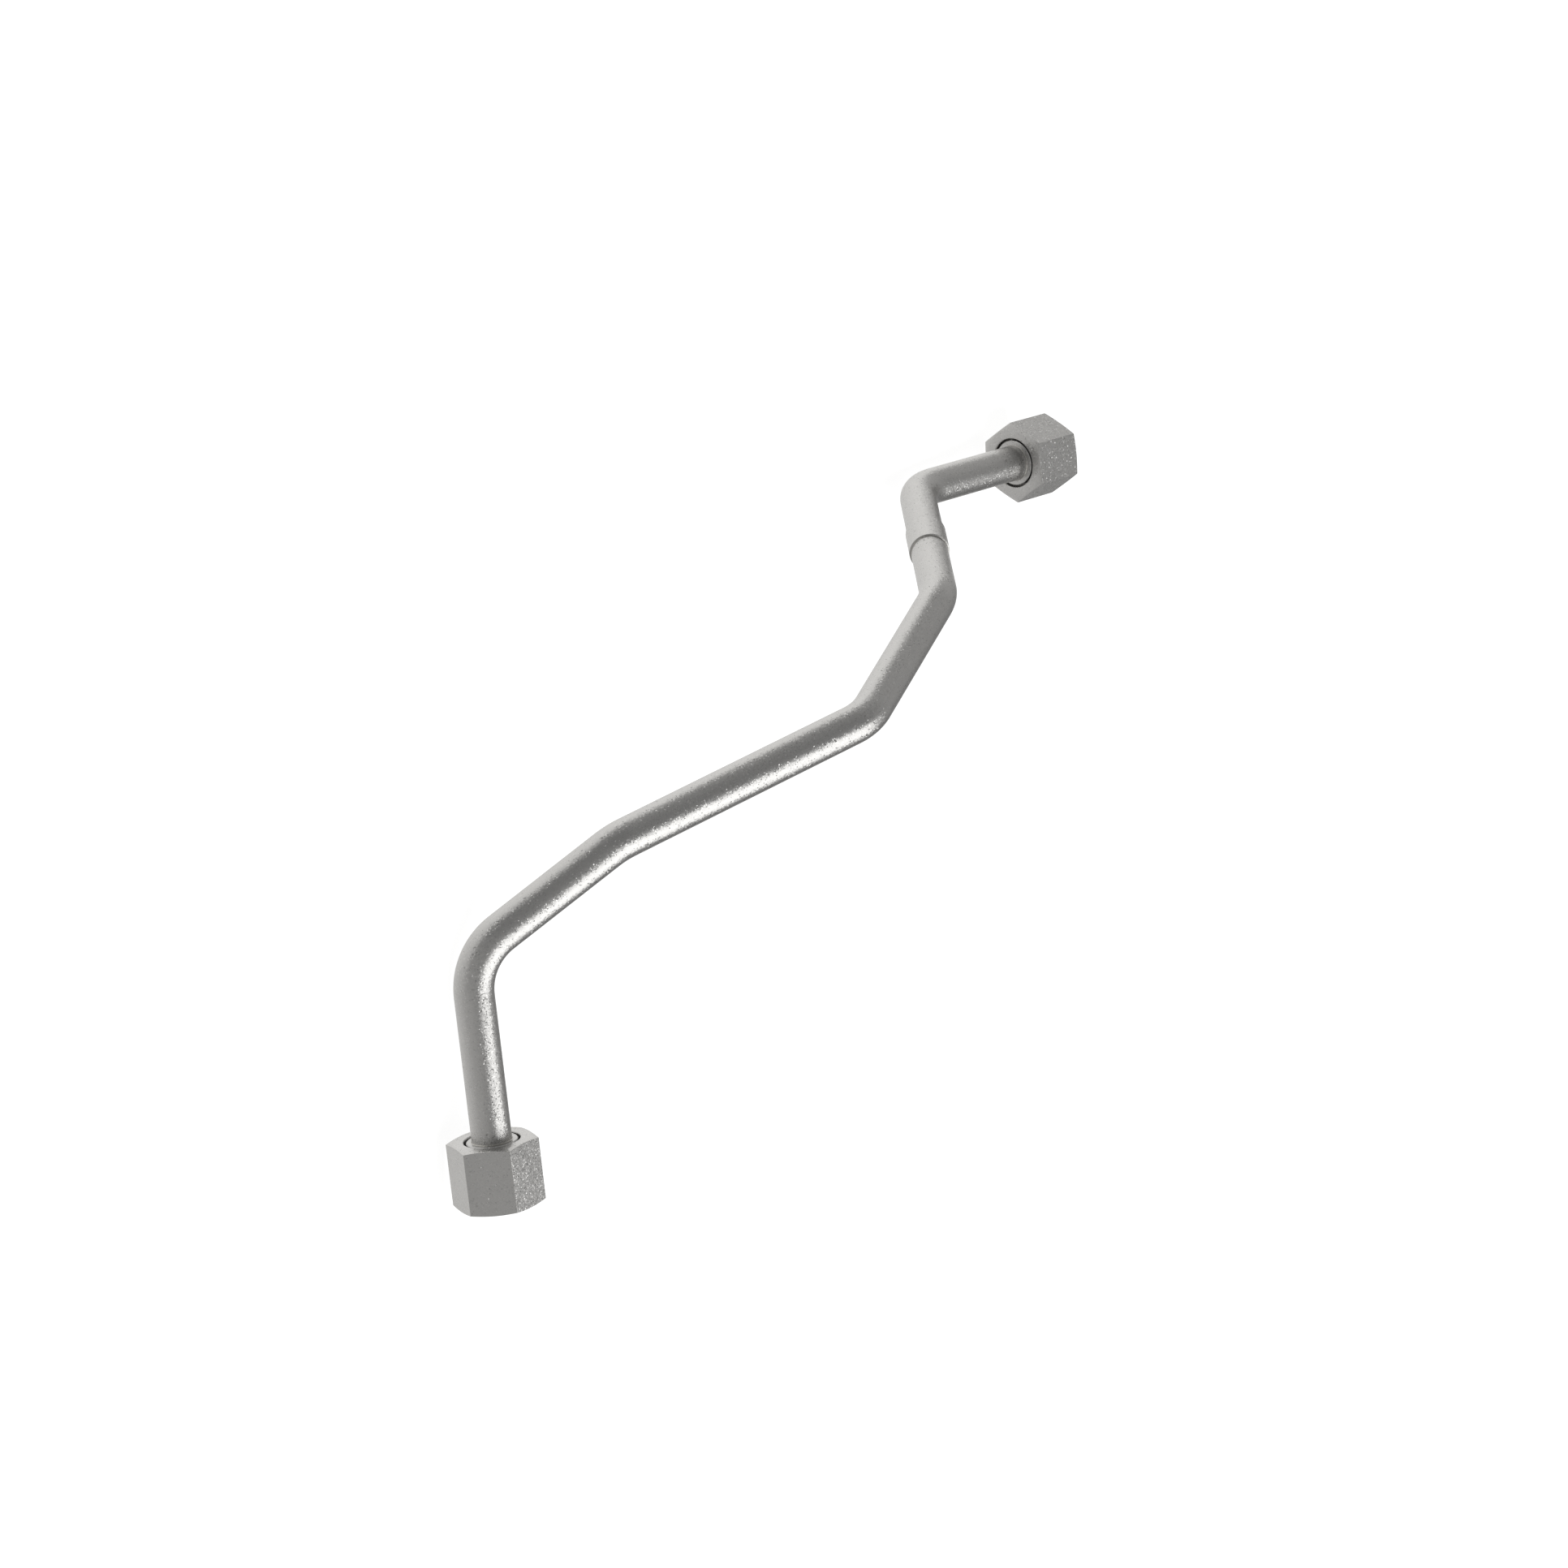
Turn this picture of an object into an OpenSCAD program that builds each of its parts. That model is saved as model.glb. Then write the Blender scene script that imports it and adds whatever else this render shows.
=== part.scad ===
// Steering hydraulic line: two bent steel tubes joined by a brazed socket,
// with a face seal sleeve and a captive union nut at each end.
// It lies as it comes to rest: on both nuts and on the underside of one bend.
// The route is a bend table, as a tube bender reads it: straight, turn, bend.

/* [Tube] */
// Outside diameter of both tubes
tube_od = 15; // [12:0.5:18]
// Wall thickness of both tubes
tube_wall = 1.5; // [1:0.1:2]
// Centre line radius of the one bending die
bend_r = 25; // [22:0.5:32]
// How much bending draws each side of the wall thinner
bend_draw = 0.03; // [0.02:0.01:0.1]

/* [Lower tube route] */
// Straight from the back of the lower nut to bend 1
leg_1 = 54.5; // [45:0.5:70]
// Angle of bend 1
bend_1 = 61; // [40:0.5:75]
// Straight between bends 1 and 2
leg_2 = 48.5; // [35:0.5:60]
// Turn of the tube before bend 2
turn_2 = 41; // [-180:0.5:180]
// Angle of bend 2
bend_2 = 21; // [10:0.5:40]
// Straight between bends 2 and 3
leg_3 = 104; // [80:0.5:130]
// Turn of the tube before bend 3
turn_3 = 82; // [-180:0.5:180]
// Angle of bend 3
bend_3 = 31; // [15:0.5:50]
// Straight between bends 3 and 4
leg_4 = 65; // [50:0.5:80]
// Turn of the tube before bend 4
turn_4 = -30; // [-180:0.5:180]
// Angle of bend 4
bend_4 = 29; // [15:0.5:50]
// Straight from bend 4 to the mouth of the socket
leg_5_lower = 35; // [25:0.5:50]

/* [Upper tube route] */
// Straight from the mouth of the socket to bend 5, with the socket in it
leg_5_upper = 51; // [40:0.5:65]
// Turn of the tube before bend 5
turn_5 = -143; // [-180:0.5:180]
// Angle of bend 5
bend_5 = 46.5; // [30:0.5:70]
// Straight from bend 5 to the back of the upper nut
leg_6 = 52.5; // [45:0.5:70]

/* [Socket joint] */
// How much the socket's outside diameter is swaged up over the tube's
socket_swell = 1.4; // [1:0.1:2.4]
// Length of the socket, from its mouth to where the tube is plain again
socket_len = 20; // [15:0.5:28]
// Length of the cone that ends the socket, and of the spigot's shoulder
swage_len = 1.8; // [1.2:0.1:3]
// Radial gap that the braze runs into
braze_gap = 0.05; // [0.03:0.01:0.1]
// Leg of the braze fillet at the socket's mouth
joint_fillet = 0.3; // [0.2:0.05:0.5]

/* [Sleeve] */
// Wall of the sleeve's stem, which passes through the nut's back
stem_wall = 2.1; // [1.5:0.05:2.5]
// How far the sleeve's head stands out over the stem, for the nut to pull on
head_step = 1.9; // [1.5:0.05:2.5]
// Thickness of the head, from its shoulder to the sealing face
head_len = 5.2; // [4:0.1:5.4]
// How far the tube goes into the sleeve
tube_seat = 8; // [6:0.5:9]
// How far the stem's end lies below the nut's back face
stem_recess = 0.7; // [0.3:0.1:1.5]
// Chamfer on the sleeve's turned edges
sleeve_chamfer = 0.4; // [0.2:0.05:0.6]
// Leg of the braze fillet round the tube
sleeve_fillet = 0.6; // [0.4:0.05:0.8]

/* [Union nut] */
// Length of the nut
nut_len = 25; // [23:0.5:30]
// Wall left between the roots of the thread and the flats
nut_wall = 2.3; // [2:0.05:4]
// Radial gap between the sleeve's stem and the hole in the nut's back wall
stem_gap = 0.85; // [0.5:0.05:1.2]
// Thickness of the back wall, up to the shoulder that pulls on the sleeve
back_wall = 6; // [5:0.5:7]
// Radial gap between the sleeve's head and the crests of the thread
head_gap = 0.2; // [0.1:0.05:0.4]
// Depth of the thread, from its crests to its roots
thread_depth = 0.95; // [0.8:0.05:1.2]
// Length of the relief groove behind the thread
relief_len = 2.5; // [1.5:0.5:3]
// How much deeper than the roots the relief and the lead in are cut
relief_depth = 0.2; // [0.1:0.05:0.4]
// How far in from the flats the circle lies where the end chamfers start
chamfer_inset = 0.75; // [0.3:0.05:1.5]
// Angle of the end chamfers
chamfer_angle = 15; // [10:1:30]
// Chamfer at the rim of the back hole
rim_chamfer = 0.3; // [0.2:0.1:0.8]
// Free travel of the nut along the sleeve before its shoulder pulls
nut_play = 0.3; // [0.2:0.05:0.5]
// How far the lower nut is turned about its leg
lower_nut_spin = 21.7; // [0:0.1:60]
// How far the upper nut is turned about its leg
upper_nut_spin = 8.9; // [0:0.1:60]

/* [At rest] */
// Roll that lays the line on the bench
lay_roll = -99.4; // [-180:0.1:180]
// Pitch that lays the line on the bench
lay_pitch = -37.4; // [-180:0.1:180]
// Yaw that sets the line's length along X
lay_yaw = 156.7; // [-180:0.1:180]

/* [Hidden] */
$fn = 32;

tube_steel = [0.66, 0.65, 0.63];
nut_steel = [0.62, 0.61, 0.59];
sleeve_steel = [0.68, 0.67, 0.65];
braze_silver = [0.60, 0.57, 0.50];

// Radii that follow from the diameters above
tube_r = tube_od / 2;
bore_r = tube_r - tube_wall;
socket_r = tube_r + socket_swell / 2;
socket_bore_r = socket_r - tube_wall;
spigot_r = socket_bore_r - braze_gap;
spigot_bore_r = spigot_r - tube_wall;

// How far each straight runs on into the bend beside it, less than shows
bend_lap = 0.3;

// Radii in a sleeve and its nut, each from the one inside it
sleeve_bore_r = tube_r + braze_gap;
stem_r = sleeve_bore_r + stem_wall;
head_r = stem_r + head_step;
back_hole_r = stem_r + stem_gap;
thread_bore_r = head_r + head_gap;
thread_root_r = thread_bore_r + thread_depth;
relief_r = thread_root_r + relief_depth;
cavity_r = head_r + nut_play;
flat_r = thread_root_r + nut_wall;
corner_r = flat_r / cos(30);
chamfer_r = flat_r - chamfer_inset;

// Depths in the socket, from its mouth
spigot_gap = 0.3;
socket_bore_end = socket_len - swage_len;
spigot_end = socket_bore_end - spigot_gap;

// Heights in a nut, from its back face to its open end
head_back = back_wall + nut_play;
seal_face = head_back + head_len;
lead_in = thread_depth + relief_depth;
relief_front = seal_face + nut_play;
relief_back = relief_front - relief_len;
corner_drop = (corner_r - chamfer_r) * tan(chamfer_angle);

legs = [leg_1, leg_2, leg_3, leg_4, leg_5_lower + leg_5_upper, leg_6];
bends = [bend_1, bend_2, bend_3, bend_4, bend_5];
turns = [0, turn_2, turn_3, turn_4, turn_5];

// Moves, each as a matrix, so that a leg's place is the product of those before it
function along(z) = [[1, 0, 0, 0], [0, 1, 0, 0], [0, 0, 1, z], [0, 0, 0, 1]];
function about_x(a) = [[1, 0, 0, 0], [0, cos(a), -sin(a), 0], [0, sin(a), cos(a), 0], [0, 0, 0, 1]];
function about_y(a) = [[cos(a), 0, sin(a), 0], [0, 1, 0, 0], [-sin(a), 0, cos(a), 0], [0, 0, 0, 1]];
function about_z(a) = [[cos(a), -sin(a), 0, 0], [sin(a), cos(a), 0, 0], [0, 0, 1, 0], [0, 0, 0, 1]];
function round_bend(a) =
    [[1, 0, 0, bend_r * (1 - cos(a))], [0, 1, 0, 0], [0, 0, 1, bend_r * sin(a)], [0, 0, 0, 1]]
    * about_y(a);
function point_of(m) = [m[0][3], m[1][3], m[2][3]];
function axis_of(m) = [m[0][2], m[1][2], m[2][2]];

// From the start of straight i to the start of the next, and from the line's start to straight i
function bend_start(i) = along(legs[i]) * about_z(turns[i]);
function leg_start(i) = i == 0 ? along(0) : leg_start(i - 1) * bend_start(i - 1) * round_bend(bends[i - 1]);
laid = about_z(lay_yaw) * about_y(lay_pitch) * about_x(lay_roll);

// The outline as discs of [centre, axis, radius]; a corner is a disc of no radius
function disc(m, r) = [point_of(laid * m), axis_of(laid * m), r];
bend_discs = [for (i = [0 : len(bends) - 1]) for (share = [0 : 0.0625 : 1])
    disc(leg_start(i) * bend_start(i) * round_bend(bends[i] * share), tube_r)];
function nut_discs(m, spin) = concat(
    [for (z = [0, nut_len]) disc(m * along(z), chamfer_r)],
    [for (z = [corner_drop, nut_len - corner_drop]) for (i = [0 : 5])
        disc(m * about_z(spin + 60 * i) * along(z) * about_y(90) * along(corner_r), 0)]);
outline = concat(bend_discs, nut_discs(about_x(180), lower_nut_spin),
                 nut_discs(leg_start(5) * along(leg_6), upper_nut_spin));
function reach(d, k) = d[2] * sqrt(max(0, 1 - d[1][k] * d[1][k]));
function low(k) = min([for (d = outline) d[0][k] - reach(d, k)]);
function high(k) = max([for (d = outline) d[0][k] + reach(d, k)]);
to_origin = [-(low(0) + high(0)) / 2, -(low(1) + high(1)) / 2, -low(2)];

// Places what is drawn at the start of straight i, with the whole line laid on the bench
// and the origin under its middle
module at_leg(i) translate(to_origin) multmatrix(laid) follow(i) children();
module follow(i, done = 0) {
    if (done == i) children();
    else multmatrix(bend_start(done) * round_bend(bends[done])) follow(i, done + 1) children();
}
module at_lower_end() at_leg(0) rotate([180, 0, 0]) children();
module at_upper_end() at_leg(5) translate([0, 0, leg_6]) children();
module at_socket_mouth() at_leg(4) translate([0, 0, leg_5_lower]) children();

// A plain length of tube between two heights
module straight(from, to) difference() {
    translate([0, 0, from]) cylinder(h = to - from, r = tube_r);
    translate([0, 0, from - 1]) cylinder(h = to - from + 2, r = bore_r);
}

// The bend after straight i: it starts upward and leans towards +X, and its wall is drawn thinner
module bend_after(i) at_leg(i) translate([0, 0, legs[i]]) rotate([0, 0, turns[i]])
    translate([bend_r, 0, 0]) rotate([90, 0, 180])
    rotate_extrude(angle = bends[i]) translate([bend_r, 0]) difference() {
        circle(r = tube_r - bend_draw);
        circle(r = bore_r + bend_draw);
    }

// End of the lower tube, swaged down from the mouth plane to go into the socket
module spigot() rotate_extrude() polygon([
    [bore_r, 0], [tube_r, 0], [spigot_r, swage_len], [spigot_r, spigot_end],
    [spigot_bore_r, spigot_end], [spigot_bore_r, swage_len]]);

// End of the upper tube, swaged up to take the spigot
module socket() rotate_extrude() polygon([
    [tube_r + braze_gap, 0], [socket_r, 0], [socket_r, socket_bore_end], [tube_r, socket_len],
    [bore_r, socket_len], [socket_bore_r, socket_bore_end], [socket_bore_r, swage_len]]);

// Run of braze in the corner between a tube and the face that it goes into
module fillet_ring(leg) rotate_extrude() translate([tube_r, 0])
    polygon([[0, 0], [leg, 0], [leg * (1 - cos(45)), leg * (1 - cos(45))], [0, leg]]);

// Turned face seal sleeve, from the nut's back face towards its open end
module sleeve() color(sleeve_steel) rotate_extrude() polygon([
    [sleeve_bore_r, stem_recess],
    [stem_r - sleeve_chamfer, stem_recess], [stem_r, stem_recess + sleeve_chamfer],
    [stem_r, head_back], [head_r - sleeve_chamfer, head_back],
    [head_r, head_back + sleeve_chamfer], [head_r, seal_face - sleeve_chamfer],
    [head_r - sleeve_chamfer, seal_face], [bore_r, seal_face],
    [bore_r, stem_recess + tube_seat], [sleeve_bore_r, stem_recess + tube_seat]]);

// Hexagon bar with both ends chamfered
module hex_blank() intersection() {
    cylinder(h = nut_len, r = corner_r, $fn = 6);
    rotate_extrude() polygon([
        [0, 0], [chamfer_r, 0], [2 * corner_r - chamfer_r, 2 * corner_drop],
        [2 * corner_r - chamfer_r, nut_len - 2 * corner_drop], [chamfer_r, nut_len], [0, nut_len]]);
}

// Union nut, from its back face to its open end
module union_nut() color(nut_steel) difference() {
    hex_blank();
    rotate_extrude() polygon([
        [0, -1], [back_hole_r + rim_chamfer + 1, -1], [back_hole_r, rim_chamfer],
        [back_hole_r, back_wall], [cavity_r, back_wall], [cavity_r, relief_back],
        [relief_r, relief_back], [relief_r, relief_front], [thread_bore_r, relief_front],
        [thread_bore_r, nut_len - lead_in],
        [thread_bore_r + lead_in + 1, nut_len + 1], [0, nut_len + 1]]);
}

module lower_tube() color(tube_steel) {
    at_leg(0) straight(-stem_recess - tube_seat, leg_1 + bend_lap);
    for (i = [1 : 3]) at_leg(i) straight(-bend_lap, legs[i] + bend_lap);
    for (i = [0 : 3]) bend_after(i);
    at_leg(4) straight(-bend_lap, leg_5_lower);
    at_socket_mouth() spigot();
}

module upper_tube() color(tube_steel) {
    at_socket_mouth() {
        socket();
        straight(socket_len, leg_5_upper + bend_lap);
    }
    bend_after(4);
    at_leg(5) straight(-bend_lap, leg_6 + stem_recess + tube_seat);
}

module joint_braze() color(braze_silver) at_socket_mouth() mirror([0, 0, 1]) fillet_ring(joint_fillet);

module lower_sleeve() at_lower_end() sleeve();
module upper_sleeve() at_upper_end() sleeve();

module sleeve_braze() color(braze_silver)
    translate([0, 0, stem_recess]) mirror([0, 0, 1]) fillet_ring(sleeve_fillet);
module lower_sleeve_braze() at_lower_end() sleeve_braze();
module upper_sleeve_braze() at_upper_end() sleeve_braze();

module lower_nut() at_lower_end() rotate([0, 0, lower_nut_spin]) union_nut();
module upper_nut() at_upper_end() rotate([0, 0, upper_nut_spin]) union_nut();

lower_tube();
upper_tube();
joint_braze();
lower_sleeve();
lower_sleeve_braze();
lower_nut();
upper_sleeve();
upper_sleeve_braze();
upper_nut();
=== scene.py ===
import math
import bmesh
import bpy
from mathutils import Matrix, Vector


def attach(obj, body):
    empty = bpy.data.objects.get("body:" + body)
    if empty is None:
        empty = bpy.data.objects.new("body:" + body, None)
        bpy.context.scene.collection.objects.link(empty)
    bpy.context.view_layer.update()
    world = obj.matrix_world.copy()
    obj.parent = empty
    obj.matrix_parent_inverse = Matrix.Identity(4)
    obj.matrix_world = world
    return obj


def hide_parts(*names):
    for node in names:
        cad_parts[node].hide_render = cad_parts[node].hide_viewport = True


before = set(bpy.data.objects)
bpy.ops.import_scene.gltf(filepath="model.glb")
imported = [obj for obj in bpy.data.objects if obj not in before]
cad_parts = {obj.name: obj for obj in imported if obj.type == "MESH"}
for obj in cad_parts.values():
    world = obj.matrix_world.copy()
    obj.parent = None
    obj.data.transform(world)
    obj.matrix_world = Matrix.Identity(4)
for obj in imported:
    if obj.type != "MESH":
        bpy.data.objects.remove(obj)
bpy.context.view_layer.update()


# The camera and the studio. The line lies on a plain white table, lit by one large soft lamp from
# behind, in a room that is pale below and dim above, which is what the satin steel shows. The
# camera comes from fitting the outlines of the tube and the nuts.
def direction(azimuth, elevation):
    """Unit vector towards an azimuth from -Y round to +X, and an elevation, in degrees."""
    a, e = math.radians(azimuth), math.radians(elevation)
    return Vector((math.sin(a) * math.cos(e), -math.cos(a) * math.cos(e), math.sin(e)))


CAMERA_PLACE = (0.87989, -0.96131, 0.85542)
CAMERA_RIGHT = (-0.49064, 0.26496, 0.8301)
CAMERA_BACK = (0.56123, -0.63264, 0.53366)
CAMERA_NEAR, CAMERA_FAR = 0.05, 50
FILM_WIDTH = 36
LENS = 90.605

camera = bpy.data.objects.new("camera", bpy.data.cameras.new("camera"))
bpy.context.scene.collection.objects.link(camera)
camera.data.sensor_width = FILM_WIDTH
camera.data.lens = LENS
camera.data.clip_start = CAMERA_NEAR
camera.data.clip_end = CAMERA_FAR
view_right = Vector(CAMERA_RIGHT).normalized()
view_back = Vector(CAMERA_BACK).normalized()
view_up = view_back.cross(view_right).normalized()
camera.matrix_world = (Matrix.Translation(CAMERA_PLACE)
                       @ Matrix((view_right, view_up, view_back)).transposed().to_4x4())
bpy.context.scene.camera = camera

bpy.context.scene.view_settings.view_transform = "Standard"


def node(tree, kind, settings=None, inputs=None):
    """Adds a node with its settings. An input is a value, a socket, or a node, whose first output
    is linked."""
    made = tree.nodes.new(kind)
    for key, value in (settings or {}).items():
        setattr(made, key, value)
    for key, value in (inputs or {}).items():
        if isinstance(value, bpy.types.Node):
            value = value.outputs[0]
        if isinstance(value, bpy.types.NodeSocket):
            tree.links.new(value, made.inputs[key])
        else:
            made.inputs[key].default_value = value
    return made


def linear(code):
    """An sRGB hex colour as linear RGBA."""
    parts = [int(code[i:i + 2], 16) / 255 for i in (1, 3, 5)]
    return [c / 12.92 if c <= 0.04045 else ((c + 0.055) / 1.055) ** 2.4 for c in parts] + [1.0]


# The room: pale below, dimmer above, and above a little lighter at its two sides. Its far side has
# a darker patch, and higher up there a second, much weaker light than the lamp.
PALE_LEFT, PALE_RIGHT = (1, 0.995, 0.985, 1), (0.425, 0.422, 0.419, 1)
DIM_MIDDLE, DIM_SIDES = (0.172, 0.172, 0.172, 1), (0.405, 0.402, 0.398, 1)
ROOM_UP = (0.025, 0.028, 1)
PALE_BELOW, DIM_ABOVE = -0.46, -0.08
ROOM_LEVEL, SHADED_LEVEL = 1.13, 0.66
SHADED_WAY, SHADED_POWER = direction(-152, 8), 10
SECOND_LIGHT_WAY, SECOND_LIGHT_POWER = direction(-145, 39), 40
SECOND_LIGHT = (0.2, 0.2, 0.2, 1)

room = bpy.data.worlds.new("pale_below_dim_above")
room.use_nodes = True
tree = room.node_tree
tree.nodes.clear()
way = node(tree, "ShaderNodeTexCoord").outputs["Generated"]
sideways = node(tree, "ShaderNodeSeparateXYZ", inputs={0: way}).outputs["X"]
rise = node(tree, "ShaderNodeVectorMath", {"operation": "DOT_PRODUCT"}, {0: way, 1: ROOM_UP})
above = node(tree, "ShaderNodeMapRange", {"interpolation_type": "SMOOTHSTEP"},
             {"Value": rise.outputs["Value"], "From Min": PALE_BELOW, "From Max": DIM_ABOVE})
to_right = node(tree, "ShaderNodeMapRange", inputs={"Value": sideways, "From Min": -1, "From Max": 1})
to_sides = node(tree, "ShaderNodeMath", {"operation": "POWER"}, {0: sideways, 1: 2})
pale = node(tree, "ShaderNodeMix", {"data_type": "RGBA"},
            {"Factor": to_right, 6: PALE_LEFT, 7: PALE_RIGHT})
dim = node(tree, "ShaderNodeMix", {"data_type": "RGBA"},
           {"Factor": to_sides, 6: DIM_MIDDLE, 7: DIM_SIDES})
walls = node(tree, "ShaderNodeMix", {"data_type": "RGBA"},
             {"Factor": above, 6: pale.outputs[2], 7: dim.outputs[2]})
shaded = node(tree, "ShaderNodeVectorMath", {"operation": "DOT_PRODUCT"}, {0: way, 1: SHADED_WAY})
shaded = node(tree, "ShaderNodeMath", {"operation": "MAXIMUM"}, {0: shaded.outputs["Value"], 1: 0})
shaded = node(tree, "ShaderNodeMath", {"operation": "POWER"}, {0: shaded, 1: SHADED_POWER})
level = node(tree, "ShaderNodeMapRange",
             inputs={"Value": shaded, "To Min": ROOM_LEVEL, "To Max": SHADED_LEVEL})
second = node(tree, "ShaderNodeVectorMath", {"operation": "DOT_PRODUCT"}, {0: way, 1: SECOND_LIGHT_WAY})
second = node(tree, "ShaderNodeMath", {"operation": "MAXIMUM"}, {0: second.outputs["Value"], 1: 0})
second = node(tree, "ShaderNodeMath", {"operation": "POWER"}, {0: second, 1: SECOND_LIGHT_POWER})
lit = node(tree, "ShaderNodeMix", {"data_type": "RGBA", "blend_type": "ADD"},
           {"Factor": second, 6: walls.outputs[2], 7: SECOND_LIGHT})
air = node(tree, "ShaderNodeBackground", inputs={"Color": lit.outputs[2], "Strength": level})
node(tree, "ShaderNodeOutputWorld", inputs={"Surface": air})
bpy.context.scene.world = room

# The lamp: a large soft box, whose reflection is the bright streak along the tube.
LAMP_SIZE = (2.5, 2.45)
LAMP_RADIANCE = 1.66
LAMP_WAY, LAMP_DISTANCE = direction(163, 58), 2.4
softbox = bpy.data.objects.new("back_softbox", bpy.data.lights.new("back_softbox", "AREA"))
bpy.context.scene.collection.objects.link(softbox)
softbox.data.shape = "RECTANGLE"
softbox.data.size, softbox.data.size_y = LAMP_SIZE
softbox.data.energy = LAMP_RADIANCE * math.pi * LAMP_SIZE[0] * LAMP_SIZE[1]
softbox.matrix_world = (Matrix.Translation(LAMP_WAY * LAMP_DISTANCE)
                        @ LAMP_WAY.to_track_quat("Z", "Y").to_matrix().to_4x4())
softbox.visible_camera = False

# The table: matt white paper, which spreads light evenly and shows the soft shadow, with a lift that
# makes its ground white. Far out it turns up into walls, so the ground stays white from low angles.
# The steel neither reflects it nor is lit by it: the room's pale lower half stands in for it there.
TABLE_HALF = 9
WALL_HEIGHT = 14
PAPER_LIFT = 0.85
table_paper = bpy.data.materials.new("matt_white_paper")
table_paper.use_nodes = True
table_paper.cycles.emission_sampling = "NONE"
tree = table_paper.node_tree
tree.nodes.clear()
ray = node(tree, "ShaderNodeLightPath").outputs
seen = node(tree, "ShaderNodeMath", {"operation": "ADD"}, {0: ray["Is Camera Ray"], 1: ray["Is Glossy Ray"]})
seen = node(tree, "ShaderNodeMath", {"operation": "ADD", "use_clamp": True},
            {0: seen, 1: ray["Is Transmission Ray"]})
lift = node(tree, "ShaderNodeMath", {"operation": "MULTIPLY"}, {0: seen, 1: PAPER_LIFT})
glow = node(tree, "ShaderNodeEmission", inputs={"Color": linear("#ffffff"), "Strength": lift})
matt = node(tree, "ShaderNodeBsdfDiffuse", inputs={"Color": linear("#bcbcbc"), "Roughness": 0.0})
both = node(tree, "ShaderNodeAddShader", inputs={0: matt, 1: glow})
node(tree, "ShaderNodeOutputMaterial", inputs={"Surface": both})

table_mesh = bpy.data.meshes.new("table")
corners = [(-1, -1), (1, -1), (1, 1), (-1, 1)]
points = [(x * TABLE_HALF, y * TABLE_HALF, z) for z in (0, WALL_HEIGHT) for x, y in corners]
faces = [(0, 1, 2, 3)] + [(k, (k + 1) % 4, (k + 1) % 4 + 4, k + 4) for k in range(4)]
table_mesh.from_pydata(points, [], faces)
table_mesh.materials.append(table_paper)
table = bpy.data.objects.new("table", table_mesh)
bpy.context.scene.collection.objects.link(table)
table.visible_glossy = False
table.visible_diffuse = False
table.visible_shadow = False


# The lower tube: 15 x 1.5 mm cold drawn precision steel tube, zinc plated to a satin grey. It is cut
# to length, its far end is swaged down to a spigot, and then it is bent cold four times on one die.
# A straight blank is turned first and Geometry Nodes lay it along the route of the bend table.
MM = 0.001
TUBE_R = 7.5
BORE_R = 6.0
BEND_R = 25.0
START_PLACE = (206.7806, 20.9711, 14.9128)
START_HEADING, START_RISE, START_ROLL = 156.7, -37.4, -99.4
LEGS = (54.5, 48.5, 104.0, 65.0, 86.0, 52.5)
TURNS = (0.0, 41.0, 82.0, -30.0, -143.0)
BENDS = (61.0, 21.0, 31.0, 29.0, 46.5)
TUBE_SEAT = 8.7
SOCKET_R = 8.2
SOCKET_BORE_R = 6.7
SOCKET_LEN = 20.0
SWAGE_LEN = 1.8
SPIGOT_R = 6.65
SPIGOT_BORE_R = 5.15
SPIGOT_END = 17.9
JOINT_FROM = 35.0
BRAZE_GAP = 0.05
ROUTE_STEP = 0.5
BEND_STEP = 2
SUPPORT = 0.5
ROUND_SIDES = 96
SHARP_EDGE = 25


def turn(axis, degrees):
    """A turn about one axis as a matrix."""
    return Matrix.Rotation(math.radians(degrees), 4, axis)


def shift(x, y, z):
    """A move as a matrix."""
    return Matrix.Translation((x, y, z))


route_start = shift(*START_PLACE) @ turn("Z", START_HEADING) @ turn("Y", START_RISE) @ turn("X", START_ROLL)
arc_lengths = [BEND_R * math.radians(bend) for bend in BENDS]


def on_route(s):
    """The place on the centre line s millimetres from the back of the lower nut."""
    place = route_start
    for i, leg in enumerate(LEGS):
        if s <= leg or i == len(BENDS):
            return place @ shift(0, 0, s)
        place = place @ shift(0, 0, leg) @ turn("Z", TURNS[i])
        s -= leg
        share = min(1, s / arc_lengths[i])
        a = math.radians(BENDS[i] * share)
        place = (place @ shift(BEND_R * (1 - math.cos(a)), 0, BEND_R * math.sin(a))
                 @ turn("Y", BENDS[i] * share))
        if share < 1:
            return place
        s -= arc_lengths[i]


bend_from = [sum(LEGS[:i + 1]) + sum(arc_lengths[:i]) for i in range(len(BENDS))]
socket_mouth = bend_from[3] + arc_lengths[3] + JOINT_FROM
route_end = sum(LEGS) + sum(arc_lengths)


def stations(first, last):
    """Distances for the rings of a blank: its ends, a ring just inside each so that the straight
    between stays evenly shaded, and every few degrees through each bend and just beside it."""
    rings = {first, first + SUPPORT, last - SUPPORT, last}
    for start, length, bend in zip(bend_from, arc_lengths, BENDS):
        steps = round(bend / BEND_STEP)
        through = [start + length * k / steps for k in range(steps + 1)]
        through = [start - SUPPORT] + through + [start + length + SUPPORT]
        rings.update(s for s in through if first < s < last)
    return sorted(rings)


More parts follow.
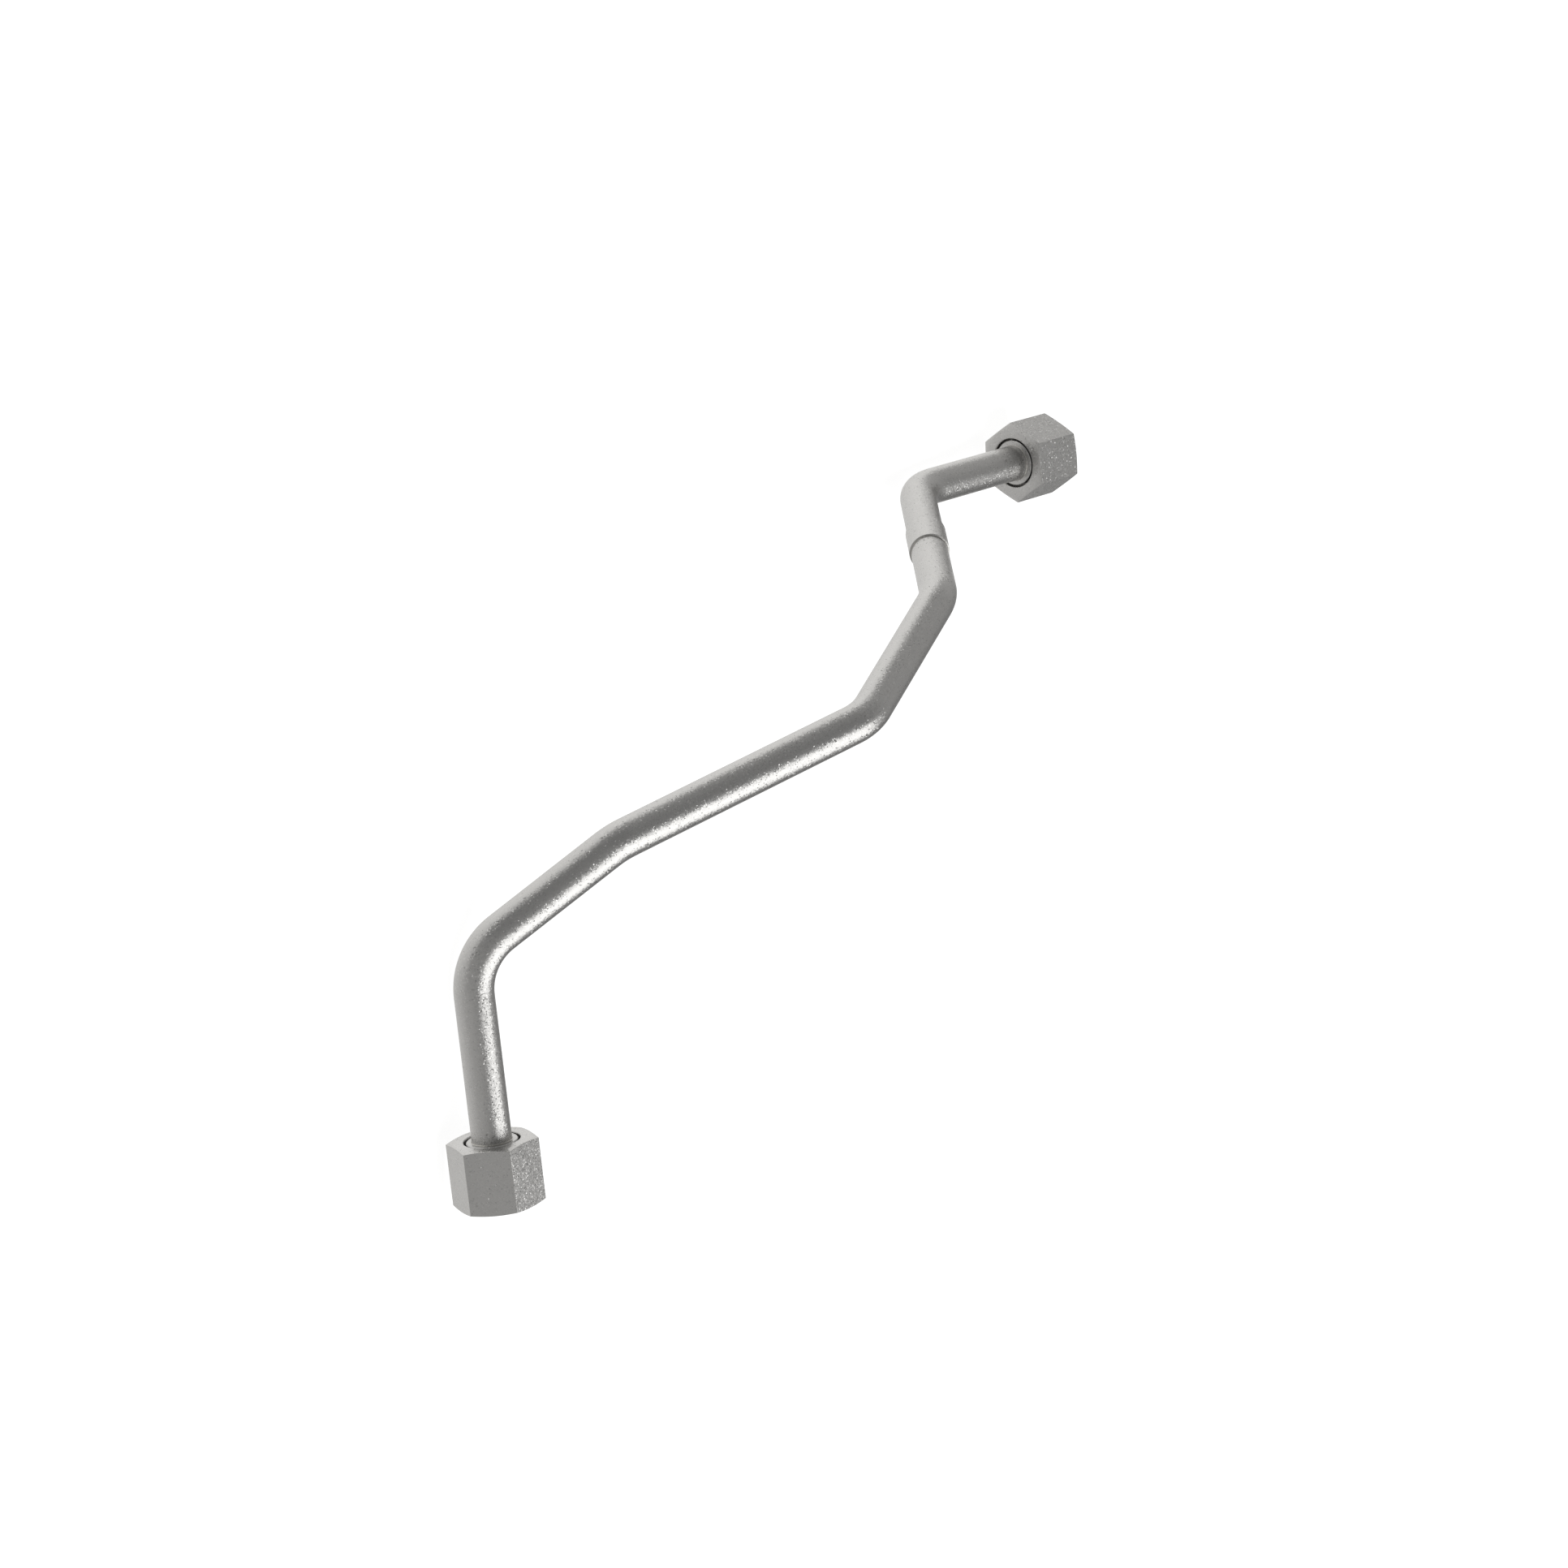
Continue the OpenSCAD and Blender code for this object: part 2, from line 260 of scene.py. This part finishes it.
def turned(name, profile):
    """A closed ring with that outline of (height, radius) in millimetres, as from a lathe."""
    mesh = bpy.data.meshes.new(name)
    count = len(profile)
    angles = [2 * math.pi * k / ROUND_SIDES for k in range(ROUND_SIDES)]
    points = [(r * MM * math.cos(a), r * MM * math.sin(a), z * MM) for a in angles for z, r in profile]
    faces = [(k * count + j, k * count + (j + 1) % count,
              (k + 1) % ROUND_SIDES * count + (j + 1) % count, (k + 1) % ROUND_SIDES * count + j)
             for k in range(ROUND_SIDES) for j in range(count)]
    mesh.from_pydata(points, [], faces)
    made = bpy.data.objects.new(name, mesh)
    bpy.context.scene.collection.objects.link(made)
    return made


def dressed(made, place, *materials):
    """Keeps each point's place on the blank as an attribute, moves the mesh to its place in metres,
    turns its faces outwards and shades it smooth, except across its sharp edges."""
    mesh = made.data
    if "on_blank" not in mesh.attributes:
        kept = mesh.attributes.new("on_blank", "FLOAT_VECTOR", "POINT")
        kept.data.foreach_set("vector", [c for v in mesh.vertices for c in v.co])
    if place is not None:
        place = place.copy()
        place.translation = place.translation * MM
        mesh.transform(place)
    shell = bmesh.new()
    shell.from_mesh(mesh)
    bmesh.ops.recalc_face_normals(shell, faces=shell.faces)
    shell.to_mesh(mesh)
    shell.free()
    mesh.shade_smooth()
    mesh.set_sharp_from_angle(angle=math.radians(SHARP_EDGE))
    for material in materials:
        if material.name not in mesh.materials:
            mesh.materials.append(material)


def plain(made):
    """Turns what the object's modifiers make into its own plain mesh."""
    evaluated = made.evaluated_get(bpy.context.evaluated_depsgraph_get())
    mesh = bpy.data.meshes.new_from_object(evaluated)
    made.modifiers.clear()
    made.data = mesh


def set_input(modifier, name, value):
    """Sets a modifier's input by the identifier of the socket with that name."""
    for item in modifier.node_group.interface.items_tree:
        if item.item_type == "SOCKET" and item.in_out == "INPUT" and item.name == name:
            modifier[item.identifier] = value


def tree_with(name, *sockets):
    """An empty Geometry Nodes tree with a geometry in and out and these named inputs."""
    made = bpy.data.node_groups.new(name, "GeometryNodeTree")
    made.interface.new_socket("Geometry", in_out="INPUT", socket_type="NodeSocketGeometry")
    for socket, kind in sockets:
        made.interface.new_socket(socket, in_out="INPUT", socket_type="NodeSocket" + kind)
    made.interface.new_socket("Geometry", in_out="OUTPUT", socket_type="NodeSocketGeometry")
    return made


bending = tree_with("bend_along_route", ("Route", "Object"), ("Route start", "Float"), ("Steel", "Material"))
asked = node(bending, "NodeGroupInput").outputs
blank_place = node(bending, "GeometryNodeInputPosition").outputs[0]
kept = node(bending, "GeometryNodeStoreNamedAttribute", {"data_type": "FLOAT_VECTOR", "domain": "POINT"},
            {"Geometry": asked["Geometry"], "Name": "on_blank", "Value": blank_place})
across = node(bending, "ShaderNodeSeparateXYZ", inputs={0: blank_place}).outputs
travel = node(bending, "ShaderNodeMath", {"operation": "SUBTRACT"},
              {0: across["Z"], 1: asked["Route start"]})
route_in = node(bending, "GeometryNodeObjectInfo", inputs={"Object": asked["Route"]})
station = node(bending, "GeometryNodeSampleCurve", {"mode": "LENGTH", "use_all_curves": False},
               {"Curves": route_in.outputs["Geometry"], "Length": travel}).outputs
side_way = node(bending, "ShaderNodeVectorMath", {"operation": "CROSS_PRODUCT"},
                {0: station["Tangent"], 1: station["Normal"]})
out_x = node(bending, "ShaderNodeVectorMath", {"operation": "SCALE"},
             {0: station["Normal"], "Scale": across["X"]})
out_y = node(bending, "ShaderNodeVectorMath", {"operation": "SCALE"}, {0: side_way, "Scale": across["Y"]})
out_xy = node(bending, "ShaderNodeVectorMath", {"operation": "ADD"}, {0: out_x, 1: out_y})
bent_place = node(bending, "ShaderNodeVectorMath", {"operation": "ADD"}, {0: station["Position"], 1: out_xy})
bent = node(bending, "GeometryNodeSetPosition", inputs={"Geometry": kept, "Position": bent_place})
real = node(bending, "GeometryNodeRealizeInstances", inputs={"Geometry": bent})
coated = node(bending, "GeometryNodeSetMaterial", inputs={"Geometry": real, "Material": asked["Steel"]})
node(bending, "NodeGroupOutput", inputs={"Geometry": coated})


def bent_tube(name, profile, first, last, steel):
    """A tube turned straight with that profile, then laid along the route by the bending tree."""
    line = bpy.data.curves.new(name + "_route", "CURVE")
    line.dimensions = "3D"
    steps = round((last - first) / ROUTE_STEP)
    spline = line.splines.new("POLY")
    spline.points.add(steps)
    for k in range(steps + 1):
        x, y, z = on_route(first + (last - first) * k / steps).translation * MM
        spline.points[k].co = (x, y, z, 1)
    route = bpy.data.objects.new(name + "_route", line)
    bpy.context.scene.collection.objects.link(route)
    made = turned(name, profile)
    work = made.modifiers.new("bending", "NODES")
    work.node_group = bending
    set_input(work, "Route", route)
    set_input(work, "Route start", first * MM)
    set_input(work, "Steel", steel)
    plain(made)
    bpy.data.objects.remove(route)
    dressed(made, None)
    return made


# The zinc's patterns, with widths in millimetres: its crystals, the tool marks under it, and faint clouds.
CRYSTAL, LEAST_LEAN, MOST_LEAN, LEANING_SHINE = 0.42, 0.03, 0.58, 0.3
TOOL_MARK, MARK_DEPTH, MARK_STRETCH = 0.35, 0.006, 0.03
CLOUD, CLOUD_TONE, CLOUD_DULLNESS = 9, 0.015, 0.006
RIM_TINT = "#eeeeee"


def satin_zinc(name, colour, roughness, marks):
    """Steel under satin zinc plating. Its crystals are drawn coarser than the real ones, so that they
    show: most barely lean and a few lean more, and these sparkle beside a lamp's reflection. The
    tool marks under the plating run along the bar where it is drawn, and round it where turned."""
    made = bpy.data.materials.new(name)
    made.use_nodes = True
    tree = made.node_tree
    tree.nodes.clear()
    metres = node(tree, "ShaderNodeAttribute", {"attribute_name": "on_blank"}).outputs["Vector"]
    blank = node(tree, "ShaderNodeVectorMath", {"operation": "SCALE"}, {0: metres, "Scale": 1 / MM})
    if marks == "drawn":
        lines = node(tree, "ShaderNodeVectorMath", {"operation": "MULTIPLY"},
                     {0: blank, 1: (1, 1, MARK_STRETCH)})
    else:
        flat = node(tree, "ShaderNodeVectorMath", {"operation": "MULTIPLY"}, {0: blank, 1: (1, 1, 0)})
        reach = node(tree, "ShaderNodeVectorMath", {"operation": "LENGTH"}, {0: flat}).outputs["Value"]
        depth = node(tree, "ShaderNodeSeparateXYZ", inputs={0: blank}).outputs["Z"]
        lines = node(tree, "ShaderNodeCombineXYZ", inputs={0: reach, 2: depth})
    ridges = node(tree, "ShaderNodeTexNoise", inputs={"Vector": lines, "Scale": 1 / TOOL_MARK, "Detail": 1})
    tooled = node(tree, "ShaderNodeBump",
                  inputs={"Height": ridges, "Distance": MARK_DEPTH * MM, "Strength": 1})

    cell = node(tree, "ShaderNodeTexVoronoi",
                inputs={"Vector": blank, "Scale": 1 / CRYSTAL}).outputs["Position"]
    chance = node(tree, "ShaderNodeTexWhiteNoise", inputs={"Vector": cell}).outputs["Value"]
    heading = node(tree, "ShaderNodeTexWhiteNoise", {"noise_dimensions": "4D"},
                   {"Vector": cell, "W": 5}).outputs["Color"]
    centred = node(tree, "ShaderNodeVectorMath", {"operation": "SUBTRACT"}, {0: heading, 1: (0.5, 0.5, 0.5)})
    bold = node(tree, "ShaderNodeMath", {"operation": "POWER"}, {0: chance, 1: 3})
    slope = node(tree, "ShaderNodeMapRange",
                 inputs={"Value": bold, "To Min": LEAST_LEAN, "To Max": MOST_LEAN})
    lean = node(tree, "ShaderNodeVectorMath", {"operation": "SCALE"}, {0: centred, "Scale": slope})
    leaning = node(tree, "ShaderNodeVectorMath", {"operation": "ADD"}, {0: tooled, 1: lean})
    facet = node(tree, "ShaderNodeVectorMath", {"operation": "NORMALIZE"}, {0: leaning})

    haze = node(tree, "ShaderNodeTexNoise", inputs={"Vector": blank, "Scale": 1 / CLOUD, "Detail": 3})
    tone = linear(colour)[:3]
    base = node(tree, "ShaderNodeMix", {"data_type": "RGBA"},
                {"Factor": haze, 6: [c * (1 - CLOUD_TONE) for c in tone] + [1],
                 7: [c * (1 + CLOUD_TONE) for c in tone] + [1]})
    dull = node(tree, "ShaderNodeMapRange",
                inputs={"Value": haze, "To Min": roughness + CLOUD_DULLNESS,
                        "To Max": roughness - CLOUD_DULLNESS})
    shine = node(tree, "ShaderNodeMath", {"operation": "MULTIPLY_ADD"},
                 {0: bold, 1: -LEANING_SHINE * roughness, 2: dull})
    skin = node(tree, "ShaderNodeBsdfPrincipled",
                inputs={"Base Color": base.outputs[2], "Metallic": 1.0, "Roughness": shine, "Normal": facet,
                        "Specular Tint": linear(RIM_TINT)})
    node(tree, "ShaderNodeOutputMaterial", inputs={"Surface": skin})
    return made


# Drawn tube: faint lines along it under the zinc, which give a soft satin streak with a fine sparkle.
ZINC_GREY, ZINC_ROUGHNESS = "#cfcecc", 0.365
tube_steel = satin_zinc("zinc_plated_drawn_steel", ZINC_GREY, ZINC_ROUGHNESS, "drawn")

inner = stations(-TUBE_SEAT, socket_mouth)
lower_profile = ([(s, TUBE_R) for s in inner]
                 + [(socket_mouth + SWAGE_LEN, SPIGOT_R), (socket_mouth + SPIGOT_END, SPIGOT_R),
                    (socket_mouth + SPIGOT_END, SPIGOT_BORE_R), (socket_mouth + SWAGE_LEN, SPIGOT_BORE_R)]
                 + [(s, BORE_R) for s in reversed(inner)])
lower_tube = bent_tube("lower_drawn_tube", lower_profile, -TUBE_SEAT, socket_mouth + SPIGOT_END, tube_steel)
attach(lower_tube, "line")
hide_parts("lower_tube")


# The upper tube: the same drawn tube, its near end swaged up over a mandrel into a socket that
# takes the spigot. The socket shows as a collar, with a short cone back to the plain tube.
MOUTH_ROUND, MOUTH_MIDDLE = 0.2, 0.06
cone_from = socket_mouth + SOCKET_LEN - SWAGE_LEN
outer = stations(socket_mouth + SOCKET_LEN, route_end + TUBE_SEAT)
upper_profile = ([(socket_mouth, TUBE_R + BRAZE_GAP), (socket_mouth, SOCKET_R - MOUTH_ROUND),
                  (socket_mouth + MOUTH_MIDDLE, SOCKET_R - MOUTH_MIDDLE),
                  (socket_mouth + MOUTH_ROUND, SOCKET_R), (socket_mouth + MOUTH_ROUND + SUPPORT, SOCKET_R),
                  (cone_from - SUPPORT, SOCKET_R), (cone_from, SOCKET_R)]
                 + [(s, TUBE_R) for s in outer] + [(s, BORE_R) for s in reversed(outer)]
                 + [(cone_from, SOCKET_BORE_R), (socket_mouth + SWAGE_LEN, SOCKET_BORE_R)])
upper_tube = bent_tube("upper_drawn_tube", upper_profile, socket_mouth, route_end + TUBE_SEAT, tube_steel)
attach(upper_tube, "line")
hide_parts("upper_tube")


# The brazed joint: silver braze drawn into the gap between spigot and socket by a torch, which
# leaves a small smooth fillet of slightly warmer metal round the socket's mouth.
JOINT_FILLET = 0.3

# Braze under zinc: smooth from melting, a shade darker and warmer than the steel, and a little duller.
BRAZE_GREY, BRAZE_ROUGHNESS = "#c2c0bb", 0.38
braze_metal = satin_zinc("zinc_plated_silver_braze", BRAZE_GREY, BRAZE_ROUGHNESS, "turned")


def fillet_ring(name, leg, place, ring_material):
    """A concave fillet with that leg round the tube, on the near side of the face at place."""
    curve = [(-leg * (1 - math.sin(math.radians(a))), TUBE_R + leg * (1 - math.cos(math.radians(a))))
             for a in (90, 70, 50, 30, 10, 0)]
    made = turned(name, [(0, TUBE_R)] + curve)
    dressed(made, place, ring_material)
    return made


joint_braze = fillet_ring("joint_braze_run", JOINT_FILLET, on_route(socket_mouth), braze_metal)
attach(joint_braze, "line")
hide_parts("joint_braze")


# The face seal sleeves: turned from steel bar, one brazed on each end of the line. The nut's
# shoulder pulls on the head, and the flat face seals on an O ring in the fitting.
STEM_R = 9.65
HEAD_R = 11.55
STEM_RECESS = 0.3
HEAD_BACK = 6.3
SEAL_FACE = 11.5
EDGE = 0.3
SLEEVE_FILLET = 0.35

# Turned steel: fine rings round the axis under the zinc, so its flat ends shine softly all round.
sleeve_steel = satin_zinc("zinc_plated_turned_steel", ZINC_GREY, ZINC_ROUGHNESS, "turned")

sleeve_profile = [(STEM_RECESS, TUBE_R + BRAZE_GAP), (STEM_RECESS, STEM_R - EDGE),
                  (STEM_RECESS + EDGE, STEM_R), (HEAD_BACK, STEM_R), (HEAD_BACK, HEAD_R - EDGE),
                  (HEAD_BACK + EDGE, HEAD_R), (SEAL_FACE - EDGE, HEAD_R), (SEAL_FACE, HEAD_R - EDGE),
                  (SEAL_FACE, BORE_R), (TUBE_SEAT, BORE_R), (TUBE_SEAT, TUBE_R + BRAZE_GAP)]
lower_end = on_route(0) @ turn("X", 180)
upper_end = on_route(route_end)
for end, place in (("lower", lower_end), ("upper", upper_end)):
    sleeve = turned(end + "_face_seal_sleeve", sleeve_profile)
    dressed(sleeve, place, sleeve_steel)
    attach(sleeve, "line")
    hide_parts(end + "_sleeve")
    braze = fillet_ring(end + "_sleeve_braze_run", SLEEVE_FILLET,
                        place @ shift(0, 0, STEM_RECESS), braze_metal)
    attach(braze, "line")
    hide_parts(end + "_sleeve_braze")


# The union nuts: 30 mm hexagon bar, parted off, both ends chamfered on the lathe, bored and cut
# with a 14 per inch right-hand thread. Each is slipped on before the sleeve is brazed, so it
# stays on the line and turns freely. Geometry Nodes cut the thread as one helical surface.
NUT_LEN = 25.0
FLAT_R = 15.0
CORNER_ROUND = 0.08
CHAMFER_R = 14.25
CHAMFER_SLOPE = math.tan(math.radians(15))
BACK_HOLE_R = 10.5
BACK_WALL = 6.0
CAVITY_R = 11.85
RELIEF_R = 12.9
RELIEF_BACK = 9.3
THREAD_START = 11.8
THREAD_CREST_R = 11.75
THREAD_ROOT_R = 12.7
THREAD_PITCH = 25.4 / 14
THREAD_ROWS = 8
NUT_SIDES = 144
HOLE_ROUND = 0.6
EDGE_BREAK, EDGE_BREAK_FROM = 0.05, 30
WELD = 0.002
LOWER_SPIN, UPPER_SPIN = 21.7, 8.9

# How far beside an edge the points lie that keep a face evenly shaded: in millimetres at the ends of
# the nut, and as a share of a flat's width at its two long edges.
NUT_SUPPORT = 0.15
FLAT_SUPPORT = 0.008

# The flats keep the bar's drawn skin, with lines along the nut; the ends, bores and thread are turned.
bar_steel = satin_zinc("zinc_plated_hexagon_bar", ZINC_GREY, ZINC_ROUGHNESS, "drawn")
nut_steel = satin_zinc("zinc_plated_turned_nut_steel", ZINC_GREY, ZINC_ROUGHNESS, "turned")

threading = tree_with("cut_thread", ("Columns", "Int"), ("Turns", "Float"), ("Pitch", "Float"),
                      ("Start", "Float"), ("End", "Float"), ("Crest radius", "Float"),
                      ("Root radius", "Float"), ("End radius", "Float"), ("Steel", "Material"))
asked = node(threading, "NodeGroupInput").outputs
columns = node(threading, "ShaderNodeMath", {"operation": "ADD"}, {0: asked["Columns"], 1: 1})
rows = node(threading, "ShaderNodeMath", {"operation": "MULTIPLY_ADD"},
            {0: asked["Turns"], 1: THREAD_ROWS, 2: 1})
rows = node(threading, "ShaderNodeMath", {"operation": "CEIL"}, {0: rows})
grid = node(threading, "GeometryNodeMeshGrid", inputs={"Vertices X": columns, "Vertices Y": rows})
index = node(threading, "GeometryNodeInputIndex")
past = node(threading, "ShaderNodeMath", {"operation": "ADD"}, {0: index, 1: 0.5})
column = node(threading, "ShaderNodeMath", {"operation": "DIVIDE"}, {0: past, 1: rows})
column = node(threading, "ShaderNodeMath", {"operation": "FLOOR"}, {0: column})
before = node(threading, "ShaderNodeMath", {"operation": "MULTIPLY"}, {0: column, 1: rows})
row = node(threading, "ShaderNodeMath", {"operation": "SUBTRACT"}, {0: index, 1: before})
share = node(threading, "ShaderNodeMath", {"operation": "DIVIDE"}, {0: column, 1: asked["Columns"]})
angle = node(threading, "ShaderNodeMath", {"operation": "MULTIPLY"}, {0: share, 1: 2 * math.pi})
climbed = node(threading, "ShaderNodeMath", {"operation": "MULTIPLY_ADD"},
               {0: row, 1: 1 / THREAD_ROWS, 2: share})
climbed = node(threading, "ShaderNodeMath", {"operation": "SUBTRACT"}, {0: climbed, 1: 1})
height = node(threading, "ShaderNodeMath", {"operation": "MULTIPLY_ADD"},
              {0: climbed, 1: asked["Pitch"], 2: asked["Start"]})
inside = node(threading, "ShaderNodeClamp",
              inputs={"Value": height, "Min": asked["Start"], "Max": asked["End"]})
turn_row = node(threading, "ShaderNodeMath", {"operation": "ADD"}, {0: row, 1: THREAD_ROWS - 0.5})
wave = node(threading, "ShaderNodeMath", {"operation": "PINGPONG"}, {0: turn_row, 1: THREAD_ROWS / 2})
radius = node(threading, "ShaderNodeMapRange",
              inputs={"Value": wave, "From Min": 0.5, "From Max": THREAD_ROWS / 2 - 0.5,
                      "To Min": asked["Crest radius"], "To Max": asked["Root radius"]})
from_start = node(threading, "ShaderNodeMath", {"operation": "SUBTRACT"}, {0: inside, 1: asked["Start"]})
from_end = node(threading, "ShaderNodeMath", {"operation": "SUBTRACT"}, {0: asked["End"], 1: inside})
nearest = node(threading, "ShaderNodeMath", {"operation": "MINIMUM"}, {0: from_start, 1: from_end})
lead = node(threading, "ShaderNodeMath", {"operation": "SUBTRACT"}, {0: asked["End radius"], 1: nearest})
radius = node(threading, "ShaderNodeMath", {"operation": "MAXIMUM"}, {0: radius, 1: lead})
cosine = node(threading, "ShaderNodeMath", {"operation": "COSINE"}, {0: angle})
sine = node(threading, "ShaderNodeMath", {"operation": "SINE"}, {0: angle})
compass = node(threading, "ShaderNodeCombineXYZ", inputs={0: cosine, 1: sine})
around = node(threading, "ShaderNodeVectorMath", {"operation": "SCALE"}, {0: compass, "Scale": radius})
upwards = node(threading, "ShaderNodeCombineXYZ", inputs={2: inside})
place_on_helix = node(threading, "ShaderNodeVectorMath", {"operation": "ADD"}, {0: around, 1: upwards})
wrapped = node(threading, "GeometryNodeSetPosition", inputs={"Geometry": grid, "Position": place_on_helix})
closed = node(threading, "GeometryNodeMergeByDistance", inputs={"Geometry": wrapped, "Distance": WELD * MM})
real = node(threading, "GeometryNodeRealizeInstances", inputs={"Geometry": closed})
coated = node(threading, "GeometryNodeSetMaterial", inputs={"Geometry": real, "Material": asked["Steel"]})
node(threading, "NodeGroupOutput", inputs={"Geometry": coated})


def hexagon():
    """Points round a hexagon bar with slightly rounded corners, from the first corner on. The points
    on each flat start and end a small share of its width from the corners."""
    rounding = 5
    between = NUT_SIDES // 6 - rounding
    centre = (FLAT_R - CORNER_ROUND) / math.cos(math.radians(30))

    def near_corner(k, degrees):
        a = math.radians(degrees)
        place = Vector((centre + CORNER_ROUND * math.cos(a), CORNER_ROUND * math.sin(a), 0))
        return turn("Z", 60 * k) @ place

    points = []
    for k in range(6):
        points += [near_corner(k, 30 * (j - rounding // 2) / (rounding // 2)) for j in range(rounding)]
        first, last = near_corner(k, 30), near_corner(k + 1, -30)
        for j in range(between):
            share_across = min(max(j / (between - 1), FLAT_SUPPORT), 1 - FLAT_SUPPORT)
            points.append(first.lerp(last, share_across))
    return points[rounding // 2:] + points[:rounding // 2]


def union_nut(name, place):
    """The nut's hexagon, faces and bores, from the thread's start round the outside to its end, closed
    by the threaded surface."""
    rings = []

    def circle(z, r):
        angles = [2 * math.pi * k / NUT_SIDES for k in range(NUT_SIDES)]
        rings.append([(r * math.cos(a), r * math.sin(a), z) for a in angles])

    for z, r in ((THREAD_START, RELIEF_R), (RELIEF_BACK, RELIEF_R), (RELIEF_BACK, CAVITY_R),
                 (BACK_WALL, CAVITY_R), (BACK_WALL, BACK_HOLE_R)):
        circle(z, r)
    for a in (0, 22.5, 45, 67.5, 90):
        circle(HOLE_ROUND * (1 - math.sin(math.radians(a))),
               BACK_HOLE_R + HOLE_ROUND * (1 - math.cos(math.radians(a))))
    circle(0, BACK_HOLE_R + HOLE_ROUND + NUT_SUPPORT)
    circle(0, CHAMFER_R)
    flats_from = len(rings)
    outline = hexagon()
    drop = [(p.length - CHAMFER_R) * CHAMFER_SLOPE for p in outline]
    for heights in (drop, [d + NUT_SUPPORT for d in drop],
                    [NUT_LEN - d - NUT_SUPPORT for d in drop], [NUT_LEN - d for d in drop]):
        rings.append([(p.x, p.y, z) for p, z in zip(outline, heights)])
    flats_to = len(rings) - 1
    circle(NUT_LEN, CHAMFER_R)
    circle(NUT_LEN, RELIEF_R)
    mesh = bpy.data.meshes.new(name)
    faces = [(j * NUT_SIDES + k, j * NUT_SIDES + (k + 1) % NUT_SIDES,
              (j + 1) * NUT_SIDES + (k + 1) % NUT_SIDES, (j + 1) * NUT_SIDES + k)
             for j in range(len(rings) - 1) for k in range(NUT_SIDES)]
    mesh.from_pydata([Vector(p) * MM for r in rings for p in r], [], faces)
    mesh.materials.append(nut_steel)
    mesh.materials.append(bar_steel)
    for k in range(flats_from * NUT_SIDES, flats_to * NUT_SIDES):
        mesh.polygons[k].material_index = 1
    made = bpy.data.objects.new(name, mesh)
    bpy.context.scene.collection.objects.link(made)
    edges = made.modifiers.new("edges", "BEVEL")
    edges.width = EDGE_BREAK * MM
    edges.segments = 2
    edges.limit_method = "ANGLE"
    edges.angle_limit = math.radians(EDGE_BREAK_FROM)
    plain(made)

    thread = bpy.data.objects.new(name + "_thread", bpy.data.meshes.new(name + "_thread"))
    bpy.context.scene.collection.objects.link(thread)
    work = thread.modifiers.new("thread", "NODES")
    work.node_group = threading
    for socket, value in (("Columns", NUT_SIDES), ("Turns", (NUT_LEN - THREAD_START) / THREAD_PITCH + 2),
                          ("Pitch", THREAD_PITCH * MM), ("Start", THREAD_START * MM), ("End", NUT_LEN * MM),
                          ("Crest radius", THREAD_CREST_R * MM), ("Root radius", THREAD_ROOT_R * MM),
                          ("End radius", RELIEF_R * MM), ("Steel", nut_steel)):
        set_input(work, socket, value)
    plain(thread)
    shell = bmesh.new()
    shell.from_mesh(made.data)
    shell.from_mesh(thread.data)
    bmesh.ops.remove_doubles(shell, verts=shell.verts, dist=WELD * MM)
    shell.to_mesh(made.data)
    shell.free()
    bpy.data.objects.remove(thread)
    dressed(made, place, nut_steel, bar_steel)
    return made


for end, place, spin in (("lower", lower_end, LOWER_SPIN), ("upper", upper_end, UPPER_SPIN)):
    nut = union_nut(end + "_union_nut", place @ turn("Z", spin))
    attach(nut, end + "_nut")
    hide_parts(end + "_nut")
